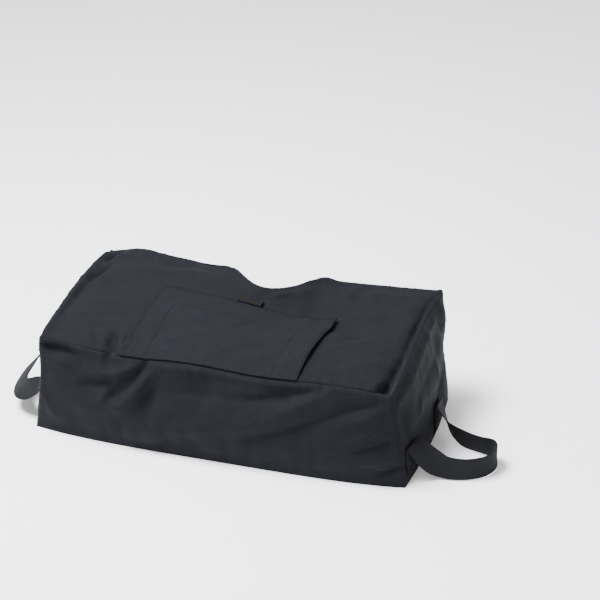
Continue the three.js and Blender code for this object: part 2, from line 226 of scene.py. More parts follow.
def napTape(name, dark, pale, size, depth):
    # Hooks or loops as a dense nap of small points
    finish = Finish(name, **{"Specular IOR Level": 0.06, "Sheen Weight": 0.0})
    where = finish.place()
    points = finish.cells(where, 1 / size, 0.7)
    lint = finish.noise(where, 260.0, 3.0, 0.7)
    tufts = (1 - points * 1.3) * 0.7 + lint * 0.3
    finish.feed("Base Color", finish.blend(tufts.maths("MAXIMUM", 0.0), dark, pale))
    finish.feed("Roughness", 0.86 + lint * 0.12)
    finish.feed("Normal", finish.bump(tufts, 0.9, depth))
    return finish.material


def grainySand(name):
    finish = Finish(name, **{"Specular IOR Level": 0.3})
    where = finish.place()
    grains = finish.cells(where, 900.0, 1.0)
    drift = finish.noise(where, 40.0, 3.0)
    shade = grains * 0.6 + drift * 0.4
    finish.feed("Base Color", finish.blend(shade, grey(0.32, 0.22, 0.12), grey(0.62, 0.49, 0.31)))
    finish.feed("Roughness", 0.85 + drift * 0.1)
    finish.feed("Normal", finish.bump(grains, 0.8, 0.0005))
    return finish.material


def threadFinish(name, dark, pale):
    finish = Finish(name, **{"Specular IOR Level": 0.08})
    twist = finish.noise(finish.place(), 1500.0, 1.0)
    finish.feed("Base Color", finish.blend(twist, dark, pale))
    finish.feed("Roughness", 0.5 + twist * 0.25)
    finish.feed("Normal", finish.bump(twist, 0.5, 0.0001))
    return finish.material


shellFinish = wovenFabric(
    "shellFabric", grey(0.0040, 0.0041, 0.0051), grey(0.0122, 0.0125, 0.0158), 0.0007, 0.0003, 0.68, 0.012)
flapFinish = wovenFabric(
    "flapFabric", grey(0.0041, 0.0042, 0.0053), grey(0.0126, 0.0130, 0.0165), 0.0007, 0.0003, 0.66, 0.012)
bindingFinish = wovenFabric(
    "seamBinding", grey(0.010, 0.011, 0.013), grey(0.028, 0.03, 0.034), 0.0009, 0.0003, 0.7, 0.1)
linerFinish = wovenFabric(
    "linerFabric", grey(0.34, 0.33, 0.30), grey(0.55, 0.54, 0.50), 0.0016, 0.0004, 0.6, 0.05)
webbingFinish = ribbedWebbing(
    "handleWebbing", grey(0.0038, 0.0038, 0.0043), grey(0.0135, 0.0138, 0.0152), 0.0024, 0.7)
tabFinish = ribbedWebbing("tabWebbing", grey(0.0028, 0.0024, 0.0022), grey(0.0095, 0.0086, 0.008), 0.0024, 0.75)
hookFinish = napTape("hookTape", grey(0.004, 0.004, 0.005), grey(0.02, 0.02, 0.022), 0.0015, 0.0012)
loopFinish = napTape("loopTape", grey(0.003, 0.003, 0.004), grey(0.016, 0.016, 0.018), 0.0008, 0.0009)
sandFinish = grainySand("drySand")
cordFinish = threadFinish("tieCord", grey(0.16, 0.14, 0.10), grey(0.34, 0.31, 0.24))
stitchFinish = threadFinish("stitchThread", grey(0.002, 0.002, 0.0025), grey(0.008, 0.008, 0.0095))


def floorFinish():
    finish = Finish("paleFloor", **{"Specular IOR Level": 0.1})
    drift = finish.noise(finish.place(), 1.5, 2.0)
    finish.feed("Base Color", finish.blend(drift, grey(0.93, 0.93, 0.93), grey(0.96, 0.96, 0.96)))
    finish.feed("Roughness", 0.9 + drift * 0.05)
    return finish.material


def addFloor():
    mesh = bpy.data.meshes.new("floor")
    shape = bmesh.new()
    bmesh.ops.create_grid(shape, x_segments=2, y_segments=2, size=30)
    shape.to_mesh(mesh)
    shape.free()
    mesh.materials.append(floorFinish())
    floor = bpy.data.objects.new("floor", mesh)
    bpy.context.scene.collection.objects.link(floor)
    world = bpy.data.worlds.new("paleRoom")
    bpy.context.scene.world = world
    world.use_nodes = True
    sky = world.node_tree.nodes["Background"]
    sky.inputs["Color"].default_value = (0.97, 0.975, 1.0, 1.0)
    sky.inputs["Strength"].default_value = skyStrength


addFloor()
print("finishes and floor made")

# ---- The settled shape of the loaded bag, in millimetres ----

bag = {
    "half": (300, 130), "height": 180, "cloth": 1.5,
    "notch": {"centre": 17, "half": 85, "depth": 58, "reach": 85},
    "rim": {"front": 156, "rear": 197, "leftRise": 10, "rightDrop": 5, "ramp": 140},
    "sag": {"depth": 24, "centre": (90, 30), "radii": (150, 85)},
    "end": {"lean": 22, "bulge": 18, "base": 0.35},
    "front": {"lean": 6, "bulge": 18, "base": 0.8},
    "opening": {"x": (-95, 91), "y": (-112, -16)},
    "gridStep": 8,
}


def clamp01(value):
    return min(max(value, 0.0), 1.0)


def notchCut(x):
    notch = bag["notch"]
    t = (x - notch["centre"]) / notch["half"]
    return notch["depth"] * (1 - t * t) ** 2 if abs(t) < 1 else 0.0


def topHeight(x, y):
    rim, sag = bag["rim"], bag["sag"]
    start = bag["half"][0] - rim["ramp"]
    left = clamp01((-x - start) / rim["ramp"])
    right = clamp01((x - start) / rim["ramp"])
    front = rim["front"] + rim["leftRise"] * left ** 2 - rim["rightDrop"] * right ** 2
    across = clamp01((y + bag["half"][1]) / (2 * bag["half"][1]))
    slope = front + (rim["rear"] - front) * (1 - (1 - across) ** 2)
    dx = (x - sag["centre"][0]) / sag["radii"][0]
    dy = (y - sag["centre"][1]) / sag["radii"][1]
    edge = (-bag["half"][1] - sag["centre"][1]) / sag["radii"][1]
    held = math.exp(-dx * dx - edge * edge) * (1 - across) ** 3
    return slope - sag["depth"] * (math.exp(-dx * dx - dy * dy) - held)


def swellAt(level, base):
    return base * (1 - level) + (4 - 2 * base) * level * (1 - level)


def settle(x, y, z):
    # From the sewn bag, in mm, to its place on the loaded bag, in metres
    level = clamp01(z / bag["height"])
    along = x / bag["half"][0]
    across = y / bag["half"][1]
    end, front = bag["end"], bag["front"]
    endSwell = end["bulge"] * along ** 3 * (1 - clamp01(across * across))
    outX = x - end["lean"] * level * along ** 3 + endSwell * swellAt(level, end["base"])
    reach = bag["notch"]["reach"]
    rearShare = clamp01((y - (bag["half"][1] - reach)) / reach)
    frontShare = clamp01(-across)
    frontSwell = front["bulge"] * frontShare ** 3 * (1 - clamp01(along ** 4))
    outY = y - notchCut(x) * rearShare + front["lean"] * level * frontShare
    outY -= frontSwell * swellAt(level, front["base"])
    outZ = level * topHeight(x, y) + max(z - bag["height"], 0)
    return Vector((outX, outY, outZ)) / 1000


# Folds on each panel, in mm on the sewn panel: where each starts and ends, how wide it is, and how
# far it stands out (or in, when negative)
folds = {
    "front": [
        ((-296, 166), (-268, 167), 8, -6), ((-268, 167), (-239, 165), 7, -6), ((-285, 146), (-240, 142), 9, 4),
        ((-290, 179), (-215, 180), 5, 3), ((-178, 181), (-172, 160), 6, -5), ((-221, 72), (-160, 78), 14, 3),
        ((-110, 174), (-110, 162), 5, -5), ((-112, 162), (-142, 127), 8, -6), ((-142, 127), (-166, 97), 9, -6),
        ((-99, 154), (-124, 116), 8, 6), ((-124, 116), (-152, 84), 9, 6), ((-152, 84), (-176, 96), 7, 4),
        ((-176, 96), (-174, 112), 6, 3), ((-122, 166), (-157, 147), 6, 5), ((-157, 147), (-194, 139), 7, 4),
        ((-168, 132), (-212, 114), 9, -5), ((-82, 146), (-111, 96), 11, -4), ((-90, 168), (-20, 171), 8, 4),
        ((-20, 171), (150, 173), 6, 2.5), ((-60, 128), (60, 138), 14, -3), ((60, 138), (165, 166), 11, -4.5),
        ((-127, 41), (50, 85), 24, 4), ((50, 85), (120, 125), 18, 5), ((120, 125), (190, 168), 14, 4.6),
        ((50, 60), (134, 95), 14, -3.5), ((134, 95), (211, 135), 11, -4), ((211, 135), (272, 158), 8, -3.5),
        ((214, 118), (270, 138), 7, 2.5), ((222, 86), (284, 116), 7, 2.5), ((232, 66), (288, 88), 6, -2.5),
        ((244, 46), (290, 62), 7, 2.5), ((262, 26), (296, 40), 6, -3), ((176, 182), (180, 166), 5, -3),
        ((-290, 70), (-262, 40), 9, 2.5), ((-300, 50), (-300, 172), 14, 4),
    ],
    "top": [
        ((274, -130), (288, -114), 8, -11), ((288, -114), (294, -60), 7, -9), ((294, -60), (297, 112), 5, -7),
        ((-300, 132), (-290, 122), 12, -8), ((262, -124), (274, -104), 6, 3), ((302, 70), (302, 130), 9, 5),
        ((-300, -110), (-300, 110), 10, 5), ((-250, 130), (-200, 130), 24, 5), ((-122, 130), (-62, 130), 20, -6),
        ((-222, -104), (-200, -122), 7, 5), ((-208, -112), (-196, -124), 5, -4),
        ((-164, -134), (-172, -116), 5, -6), ((-172, -116), (-176, -98), 5, -4.5),
        ((-186, -124), (-192, -104), 6, 4), ((-152, -124), (-162, -104), 6, 4), ((-196, -88), (-160, -92), 7, 3.5),
        ((-214, -80), (-176, -74), 8, -2), ((-270, 120), (-284, 84), 7, -11), ((-262, 76), (-284, 26), 7, -10),
        ((-258, 100), (-268, 60), 7, 4), ((-284, 20), (-290, -80), 6, -5), ((-262, -70), (-166, -54), 9, -1.6),
        ((-250, -30), (-160, -22), 10, 1.6), ((-240, 20), (-150, 34), 9, -1.4), ((-255, 60), (-100, 84), 14, 2),
        ((-220, 96), (-60, 100), 10, -1.6), ((160, -56), (228, -26), 8, 2.2), ((168, -34), (240, 2), 7, -1.8),
        ((172, 10), (270, 20), 9, 2), ((150, 84), (242, 66), 9, -1.8), ((150, 100), (250, 92), 8, 1.8),
        ((200, -96), (262, -74), 8, 2), ((196, 30), (266, 44), 7, -1.6), ((74, 122), (112, 126), 5, 5),
        ((110, 116), (150, 120), 6, -2.5), ((-84, 122), (-60, 118), 6, 3.5), ((-40, 96), (20, 66), 16, -2.5),
        ((30, 84), (80, 100), 10, 2),
    ],
    "rear": [
        ((-300, 180), (-292, 172), 11, -8), ((-250, 180), (-200, 180), 20, 4), ((-122, 180), (-62, 180), 18, -5),
        ((-52, 176), (-38, 18), 9, -9), ((-70, 160), (-62, 20), 11, 5), ((-26, 150), (-14, 24), 13, 4),
        ((64, 166), (112, 70), 13, 4), ((40, 150), (80, 40), 14, -3), ((14, 160), (20, 60), 16, 2.5),
        ((120, 120), (200, 60), 12, 2.5), ((170, 110), (262, 40), 12, -2.2), ((-120, 120), (-210, 50), 12, 2.8),
        ((-160, 112), (-270, 66), 10, -2.2), ((-240, 110), (-284, 60), 8, 2.2), ((230, 112), (286, 84), 8, 2.2),
        ((-84, 100), (-130, 30), 11, -2.5), ((96, 60), (140, 18), 10, 2.2),
    ],
    "right": [
        ((-122, 176), (124, 177), 5, 2), ((-118, 154), (70, 160), 10, 4), ((96, 178), (130, 110), 16, 6),
        ((-60, 120), (70, 128), 12, -2), ((-98, 70), (-110, 120), 6, -2.5), ((-80, 74), (-56, 112), 8, 2.5),
        ((16, 76), (34, 124), 8, 2.2), ((30, 60), (80, 96), 8, -2), ((-124, 40), (-96, 12), 7, -3),
        ((60, 30), (116, 16), 9, 2.2), ((88, 150), (120, 90), 7, -2.5),
    ],
    "left": [
        ((-110, 176), (112, 176), 11, 5), ((30, 158), (110, 162), 11, 4), ((130, 180), (124, 172), 11, -8),
        ((-130, 50), (-130, 172), 13, 5), ((96, 168), (84, 134), 9, -4), ((60, 160), (40, 130), 9, -4),
        ((-98, 74), (-80, 120), 7, 2.5), ((20, 78), (44, 122), 8, 2.2), ((-60, 60), (-20, 96), 9, -2),
        ((60, 40), (112, 20), 9, 2.2), ((-120, 120), (-104, 60), 7, -2.5),
    ],
    "bottom": [],
}
foldShare = {"front": 1.75, "top": 1.45, "rear": 1.5, "left": 1.3, "right": 1.6, "bottom": 0.0}
mostInward = {"front": -6.2, "top": -15.0, "rear": -4.6, "left": -5.6, "right": -5.6, "bottom": 0.0}
mostOutward = 10.0
softness = {"front": 1.8, "rear": 2.4, "top": 1.1, "left": 0.9, "right": 1.4, "bottom": 0.0}
slackLean = {"front": 0.55, "rear": -0.7, "top": 0.35, "left": 1.1, "right": 1.0, "bottom": 0.0}
slackSeed = {"front": 3.1, "rear": 7.7, "top": 12.3, "left": 21.9, "right": 31.3, "bottom": 0.0}
# Where each handle needs the end panel to stay close to its settled shape
handleSpace = {"y": (-122, 42), "leftZ": (40, 140), "rightZ": (44, 84), "edge": 16}
# Where the load pulls the cloth aside: the place on the sewn bag, the pull and its reach, all in mm
tugs = [
    ((300, 130, 180), (9, 2, 0), 42), ((-300, -130, 180), (-5, -2, -2), 45), ((-300, -130, 0), (-6, 0, 0), 60),
    ((-140, -130, 180), (0, -1, -5), 70), ((80, -130, 180), (0, -2, -5), 80),
]


def tugAt(x, y, z):
    total = Vector((0, 0, 0))
    for place, pull, reach in tugs:
        share = math.exp(-((Vector(place) - Vector((x, y, z))).length / reach) ** 2)
        total += Vector(pull) * share
    total.z *= onFloor(x, y, z)
    return total / 1000


def alongFold(fold, u, v):
    # How far along a fold the nearest point to (u, v) lies, from 0 to 1, and how far off it is
    (u0, v0), (u1, v1) = fold[:2]
    du, dv = u1 - u0, v1 - v0
    near = clamp01(((u - u0) * du + (v - v0) * dv) / (du * du + dv * dv))
    return near, math.hypot(u - u0 - near * du, v - v0 - near * dv)


def foldHeight(face, u, v):
    total = 0.0
    for fold in folds[face]:
        near, off = alongFold(fold, u, v)
        width, height = fold[2:]
        if off < 3 * width:
            taper = 0.35 + 0.65 * math.sin(math.pi * clamp01(0.12 + 0.76 * near))
            total += height * taper * math.exp(-(off / width) ** 1.25)
    return total * foldShare[face]


def edgeGaps(x, y, z):
    # From a place on the sewn bag to its ends, to its long walls, and to its top or bottom
    return bag["half"][0] - abs(x), bag["half"][1] - abs(y), min(z, bag["height"] - z)


def sinceEdge(x, y, z):
    return sorted(edgeGaps(x, y, z))[1]


def flatPlace(face, x, y, z):
    return {"front": (x, z), "rear": (x, z), "top": (x, y), "bottom": (x, y)}.get(face, (y, z))


outward = {
    "front": Vector((0, -1, 0)), "rear": Vector((0, 1, 0)), "top": Vector((0, 0, 1)),
    "bottom": Vector((0, 0, -1)), "left": Vector((-1, 0, 0)), "right": Vector((1, 0, 0)),
}


def slackHeight(face, u, v):
    # Soft broad waves of slack cloth, smaller ones laid over them
    c, s = math.cos(slackLean[face]), math.sin(slackLean[face])
    a, b = u * c + v * s, v * c - u * s
    seed = slackSeed[face]
    broad = noise.noise((a / 150, b / 42, seed))
    fine = noise.noise((a / 60, b / 17, seed + 5))
    return softness[face] * (1.7 * broad + 0.5 * fine)


def seamPucker(face, x, y, z, edge):
    if face == "bottom":
        return 0.0
    ends, walls, ground = edgeGaps(x, y, z)
    if face == "top":
        run = x if walls < ends else y
    elif face in ("left", "right"):
        run = y if ground < walls else z
    else:
        run = x if ground < ends else z
    wave = noise.noise((run / 9, edge / 60, 2.0)) + 0.6 * noise.noise((run / 21, edge / 60, 9.0))
    return 2.2 * wave * math.exp(-edge / 13) * clamp01(edge / 4)


def onFloor(x, y, z):
    return clamp01((z - 4) / 26)


def handleRoom(x, y, z):
    # 0 where a handle lies or swings close to an end panel, 1 well away from there
    if abs(x) < bag["half"][0] - 0.5:
        return 1.0
    y0, y1 = handleSpace["y"]
    z0, z1 = handleSpace["leftZ" if x < 0 else "rightZ"]
    return clamp01(max(y0 - y, y - y1, z0 - z, z - z1) / handleSpace["edge"])


def notchShare(x, y):
    # 1 at the bottom of the notch, where the sand lies close behind the cloth, 0 beside it
    return math.sqrt(notchCut(x) / bag["notch"]["depth"]) if y > bag["half"][1] - 0.5 else 0.0


def reliefAt(face, x, y, z):
    # How far the cloth stands out from the settled shape, in mm
    u, v = flatPlace(face, x, y, z)
    edge = sinceEdge(x, y, z)
    height = foldHeight(face, u, v) + slackHeight(face, u, v) * clamp01(edge / 30)
    height += seamPucker(face, x, y, z, edge)
    height += 0.9 * math.exp(-((edge - 8) / 5) ** 2) - 1.8 * math.exp(-(edge / 3) ** 2)
    if height > 0:
        height = mostOutward * math.tanh(height / mostOutward) * handleRoom(x, y, z)
    height = max(height, mostInward[face] * (1 - notchShare(x, y)))
    return height * onFloor(x, y, z) if face != "top" else height


# ---- The shell: one closed grid, swelled and creased by a cloth simulation, then cut into its panels ----

faces = ["bottom", "top", "front", "rear", "left", "right"]


def snapTo(value, lines, step):
    for line in lines:
        if abs(value - line) <= step / 2:
            return float(line)
    return value


def buildShell():
    shape = bmesh.new()
    panel = shape.faces.layers.int.new("panel")
    step = bag["gridStep"]
    wide, deep, tall = *bag["half"], bag["height"] / 2
    sizes = {"x": round(2 * wide / step), "y": round(2 * deep / step), "z": round(2 * tall / step)}
    # The two ways each panel's grid runs, half its width, half its height, and its middle
    flat = {
        "bottom": ("x", "y", (wide, 0, 0), (0, -deep, 0), (0, 0, 0)),
        "top": ("x", "y", (wide, 0, 0), (0, deep, 0), (0, 0, 2 * tall)),
        "front": ("x", "z", (wide, 0, 0), (0, 0, tall), (0, -deep, tall)),
        "rear": ("x", "z", (-wide, 0, 0), (0, 0, tall), (0, deep, tall)),
        "left": ("y", "z", (0, -deep, 0), (0, 0, tall), (-wide, 0, tall)),
        "right": ("y", "z", (0, deep, 0), (0, 0, tall), (wide, 0, tall)),
    }
    for index, face in enumerate(faces):
        first, second, across, up, middle = flat[face]
        matrix = Matrix.Translation(middle) @ Matrix((across, up, (0, 0, 0))).transposed().to_4x4()
        before = set(shape.faces)
        bmesh.ops.create_grid(shape, x_segments=sizes[first], y_segments=sizes[second], size=1, matrix=matrix)
        for made in set(shape.faces) - before:
            made[panel] = index
    bmesh.ops.remove_doubles(shape, verts=shape.verts, dist=0.5)
    bmesh.ops.recalc_face_normals(shape, faces=shape.faces)
    for vert in shape.verts:
        x, y, z = vert.co
        vert.co = (snapTo(x, bag["opening"]["x"], step), snapTo(y, bag["opening"]["y"], step), z)
    return shape


slack = {"frames": 24, "share": 0.5, "most": 0.0045}
slackCloth = {
    "quality": 6, "mass": 0.25, "tension_stiffness": 25, "compression_stiffness": 18, "shear_stiffness": 8,
    "bending_stiffness": 1.2, "tension_damping": 12, "compression_damping": 12, "vertex_group_mass": "sewn",
    "pin_stiffness": 3, "shrink_min": -0.045, "use_pressure": True, "uniform_pressure_force": 1.4,
}


def slackSim(shape, nominal):
    # Lets the cloth buckle a little between its seams, pushed out by the sand
    mesh = bpy.data.meshes.new("slackCloth")
    shape.to_mesh(mesh)
    cloth = bpy.data.objects.new("slackCloth", mesh)
    bpy.context.scene.collection.objects.link(cloth)
    group = cloth.vertex_groups.new(name="sewn")
    for index, place in enumerate(nominal):
        edge = sinceEdge(*place)
        weight = 1.0 if place.z < 1 else math.exp(-(edge / 9) ** 2) * 0.97
        group.add([index], max(weight, 0.02), "REPLACE")
    modifier = cloth.modifiers.new("slack", "CLOTH")
    for name, value in slackCloth.items():
        setattr(modifier.settings, name, value)
    modifier.settings.effector_weights.gravity = 0
    modifier.point_cache.frame_start = 1
    modifier.point_cache.frame_end = slack["frames"]
    for number in range(1, slack["frames"] + 1):
        bpy.context.scene.frame_set(number)
    moved = cloth.evaluated_get(bpy.context.evaluated_depsgraph_get()).data
    for vert, new in zip(shape.verts, moved.vertices):
        change = (new.co - vert.co) * slack["share"]
        if change.length > slack["most"]:
            change *= slack["most"] / change.length
        place = nominal[vert.index]
        vert.co += change * onFloor(*place) * handleRoom(*place) * (1 - notchShare(place.x, place.y))
    bpy.data.objects.remove(cloth)
    bpy.context.scene.frame_set(1)


def smoothed(shape):
    # The same shape after one level of subdivision
    mesh = bpy.data.meshes.new("shellCloth")
    shape.to_mesh(mesh)
    shape.free()
    holder = bpy.data.objects.new("shellCloth", mesh)
    bpy.context.scene.collection.objects.link(holder)
    addSmoothing(holder)
    bpy.context.view_layer.update()
    fine = bpy.data.meshes.new_from_object(holder.evaluated_get(bpy.context.evaluated_depsgraph_get()))
    bpy.data.objects.remove(holder)
    shape = bmesh.new()
    shape.from_mesh(fine)
    bpy.data.meshes.remove(fine)
    return shape


def finishedShell():
    shape = buildShell()
    shape.verts.ensure_lookup_table()
    nominal = [vert.co.copy() for vert in shape.verts]
    for vert, place in zip(shape.verts, nominal):
        vert.co = settle(*place)
    shape.verts.index_update()
    slackSim(shape, nominal)
    layer = shape.verts.layers.float_vector.new("sewnPlace")
    for vert, place in zip(shape.verts, nominal):
        vert[layer] = place
    crease = shape.edges.layers.float.new("crease_edge")
    panel = shape.faces.layers.int["panel"]
    for edge in shape.edges:
        if len({near[panel] for near in edge.link_faces}) > 1:
            edge[crease] = 0.55
    shape = smoothed(shape)
    layer = shape.verts.layers.float_vector["sewnPlace"]
    panel = shape.faces.layers.int["panel"]
    shape.normal_update()
    moves = {}
    for vert in shape.verts:
        place = vert[layer]
        sides = {faces[near[panel]] for near in vert.link_faces}
        relief = sum(reliefAt(side, *place) for side in sides) / len(sides)
        moves[vert] = vert.normal * (relief / 1000) + tugAt(*place)
    for vert, move in moves.items():
        vert.co += move
        vert.co.z = max(vert.co.z, 0.0)
    return shape


def addSmoothing(piece):
    modifier = piece.modifiers.new("smoothing", "SUBSURF")
    modifier.levels = 1
    modifier.render_levels = 1


shellShape = finishedShell()
print("shell shaped:", len(shellShape.faces), "faces")


def movesOf(index):
    # Where a panel's cloth has gone, so that whatever is sewn to it can follow
    panel = shellShape.faces.layers.int["panel"]
    layer = shellShape.verts.layers.float_vector["sewnPlace"]
    verts = {vert for near in shellShape.faces if near[panel] == index for vert in near.verts}
    tree = KDTree(len(verts))
    for number, vert in enumerate(verts):
        tree.insert(vert[layer], number)
    tree.balance()
    return tree, [vert.co - settle(*vert[layer]) for vert in verts]


clothMoves = {face: movesOf(index) for index, face in enumerate(faces)}


def followCloth(face, x, y, z, lift=0.0, soft=7.0):
    # A point near a panel, moved as the cloth below it has moved, lifted along the panel's normal
    tree, found = clothMoves[face]
    total, weight = Vector((0, 0, 0)), 0.0
    for place, number, off in tree.find_n(Vector((x, y, z)), 10):
        share = math.exp(-(off / soft) ** 2) + 1e-6
        total += found[number] * share
        weight += share
    return settle(x, y, z) + total / weight + outward[face] * (lift / 1000)


def makePiece(name, shape, material, body, nodes=()):
    mesh = bpy.data.meshes.new(name)
    shape.to_mesh(mesh)
    shape.free()
    mesh.materials.append(material)
    mesh.shade_smooth()
    piece = bpy.data.objects.new(name, mesh)
    bpy.context.scene.collection.objects.link(piece)
    if body:
        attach(piece, body)
    if nodes:
        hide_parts(*nodes)
    return piece


def addThickness(piece, thickness, offset=0.0):
    # Half on each side of the sheet, or all of it inside with an offset of -1
    modifier = piece.modifiers.new("thickness", "SOLIDIFY")
    modifier.thickness = thickness
    modifier.offset = offset
    modifier.use_even_offset = False


def inHole(near, hole, placeOf):
    # Whether the middle of a face lies in a hole of the flat pattern
    spots = [placeOf(vert) for vert in near.verts]
    middle = [sum(spot[axis] for spot in spots) / len(spots) for axis in (0, 1)]
    return all(low < at < high for at, (low, high) in zip(middle, hole))


def panelPiece(face, name, node):
    shape = shellShape.copy()
    index = faces.index(face)
    panel = shape.faces.layers.int["panel"]
    layer = shape.verts.layers.float_vector["sewnPlace"]
    pattern = shape.loops.layers.uv.new("flatPattern")
    gone = [near for near in shape.faces if near[panel] != index]
    if face == "top":
        hole = (bag["opening"]["x"], bag["opening"]["y"])
        own = [near for near in shape.faces if near[panel] == index]
        gone += [near for near in own if inHole(near, hole, lambda vert: vert[layer])]
    bmesh.ops.delete(shape, geom=gone, context="FACES")
    for near in shape.faces:
        for loop in near.loops:
            u, v = flatPlace(face, *loop.vert[layer])
            loop[pattern].uv = (u / 1000, v / 1000)
    piece = makePiece(name, shape, shellFinish, "bag", [node])
    addThickness(piece, bag["cloth"] / 1000, -1.0)
    return piece


# Each panel's name, the node it replaces, its flat size and what it rests on
panels = {
    "bottom": ("bottomPanel", "bottom_panel", (0.6, 0.26), ()),
    "top": ("topPanel", "top_panel", (0.6, 0.26), ["leftLiner"]),
    "front": ("frontPanel", "front_panel", (0.6, 0.18), ["leftLiner"]),
    "rear": ("rearPanel", "rear_panel", (0.6, 0.18), ["leftLiner"]),
    "left": ("leftEndPanel", "left_end_panel", (0.26, 0.18), ["leftLiner"]),
    "right": ("rightEndPanel", "right_end_panel", (0.26, 0.18), ["rightLiner"]),
}
for face, (name, node, flat, under) in panels.items():
    panelPiece(face, name, node)
print("panels cut")


# ---- Flat pieces sewn to the shell: tapes, bands, the flap and its tab ----

def spread(low, high, step, margins=()):
    # Grid lines from low to high, with closer ones at the margins where hems and stitching lie
    lines = {low, high}
    for margin in margins:
        lines |= {low + margin, high - margin}
    count = max(1, round((high - low) / step))
    for number in range(count + 1):
        value = low + (high - low) * number / count
        if all(abs(value - line) > 0.45 * step for line in lines):
            lines.add(value)
    return sorted(lines)


def onPanel(face, u, v, lift):
    wide, deep = bag["half"]
    where = {
        "top": (u, v, bag["height"]), "rear": (u, deep, v), "front": (u, -deep, v),
        "left": (-wide, u, v), "right": (wide, u, v),
    }
    return followCloth(face, *where[face], lift, 9.0)


def clothSheet(face, us, vs, lift, hole=None, skew=None):
    # A grid on a panel, lifted off it by lift(u, v) in mm, with its flat pattern as its UV map
    shape = bmesh.new()
    bmesh.ops.create_grid(shape, x_segments=len(us) - 1, y_segments=len(vs) - 1, size=1)
    pattern = shape.loops.layers.uv.new("flatPattern")
    place = {}
    for vert in shape.verts:
        u = us[round((vert.co.x + 1) / 2 * (len(us) - 1))]
        v = vs[round((vert.co.y + 1) / 2 * (len(vs) - 1))]
        place[vert] = (u, v)
    if hole:
        gone = [near for near in shape.faces if inHole(near, hole, place.get)]
        bmesh.ops.delete(shape, geom=gone, context="FACES")
    for near in shape.faces:
        for loop in near.loops:
            u, v = place[loop.vert]
            loop[pattern].uv = (u / 1000, v / 1000)
    for vert in shape.verts:
        u, v = place[vert]
        aside = skew(u, v) if skew else 0.0
        vert.co = onPanel(face, u + aside, v, lift(u, v))
    if face in ("rear", "left"):
        bmesh.ops.reverse_faces(shape, faces=shape.faces)
    return shape


flap = {
    "x": (-147, 143), "y": (-129.4, 30), "step": 6, "cloth": 0.0011, "stitched": (9, 43),
    "loopLift": 0.8, "hookLift": 2.2, "liningLift": 4.0, "coverLift": 5.3, "tape": 38, "margin": 3,
    "hemLines": (1.5, 4, 7, 9, 11, 41, 43, 45), "leastWave": -1.2,
}
flapFolds = [
    ((-118, -122), (-30, -74), 5, -1.2), ((-30, -74), (34, -4), 5, -1.2), ((-112, -112), (-24, -64), 5, 2.2),
    ((-24, -64), (30, 2), 5, 2.0), ((-22, -124), (38, -88), 5, -1.2), ((38, -88), (88, -26), 5, -1.2),
    ((-16, -116), (44, -80), 5, 2.4), ((44, -80), (84, -18), 5, 2.0), ((94, -108), (130, -68), 5, -1.2),
    ((60, -60), (120, -40), 8, 1.6),
]


def flapWave(u, v):
    # The flap's own soft folds, and its right edge and near right corner that stand up a little
    height = 0.0
    for fold in flapFolds:
        t, off = alongFold(fold, u, v)
        width, high = fold[2:]
        height += high * (0.3 + 0.7 * math.sin(math.pi * t)) * math.exp(-(off / width) ** 2)
    sewn = clamp01((v - flap["y"][0]) / 14)
    right = clamp01((u - 96) / 47) ** 2
    height += 2.6 * right * (0.7 + 0.5 * math.sin(v / 15)) * sewn
    height += 0.8 * noise.noise((u / 34, v / 26, 4.4)) * sewn
    curl = math.exp(-((u - 120) / 34) ** 2 - ((v + 124) / 9) ** 2)
    return max(height + 2.2 * curl, flap["leastWave"])


def flapSkew(u, v):
    # The flap is sewn on a little to the left, and its free edge lies a little to the right
    along = clamp01((v - flap["y"][0]) / (flap["y"][1] - flap["y"][0]))
    return -7 + 12 * along + 3 * along * clamp01(u / flap["x"][1])


def flapRise(u, v, lift, hem):
    sewn = clamp01((v - flap["y"][0]) / 16)
    edge = min(u - flap["x"][0], flap["x"][1] - u, flap["y"][1] - v)
    droop = 2.2 * math.exp(-(edge / 3.2) ** 2) * (1 - 0.8 * clamp01((u - 110) / 30))
    turned = 0.7 * clamp01(1 - abs(edge - 4) / 5) if hem else 0.0
    line = sum(0.7 * math.exp(-((edge - at) / 1.4) ** 2) for at in flap["stitched"]) if hem else 0.0
    return lift * (0.35 + 0.65 * sewn) + flapWave(u, v) * (0.4 + 0.6 * sewn) + turned - droop - line


def flapPiece(name, lift, node, hem):
    us = spread(*flap["x"], flap["step"], flap["hemLines"])
    vs = spread(flap["y"][0] - 1.5, flap["y"][1], flap["step"])
    for margin in flap["hemLines"]:
        value = flap["y"][1] - margin
        vs = [one for one in vs if abs(one - value) > 2 or one in (vs[0], vs[-1])] + [value]
    vs = sorted(set(vs))
    shape = clothSheet("top", us, vs, lambda u, v: flapRise(u, v, lift, hem), skew=flapSkew)
    piece = makePiece(name, shape, flapFinish, None, [node])
    addThickness(piece, flap["cloth"])
    addSmoothing(piece)
    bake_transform(piece)


flapPiece("flapCover", flap["coverLift"], "flap_cover", True)
flapPiece("flapLining", flap["liningLift"], "flap_lining", False)


def closureTape(name, node, u, v, rise, material, slot, body):
    shape = clothSheet("top", spread(*u, 6, (1.5,)), spread(*v, 6, (1.5,)), rise, skew=flapSkew)
    piece = makePiece(name, shape, material, body, [node])
    addThickness(piece, 0.0011)
    (u[1] - u[0]) / 1000
    (v[1] - v[0]) / 1000


def hookRise(u, v):
    return flapRise(u, v, flap["hookLift"], False)


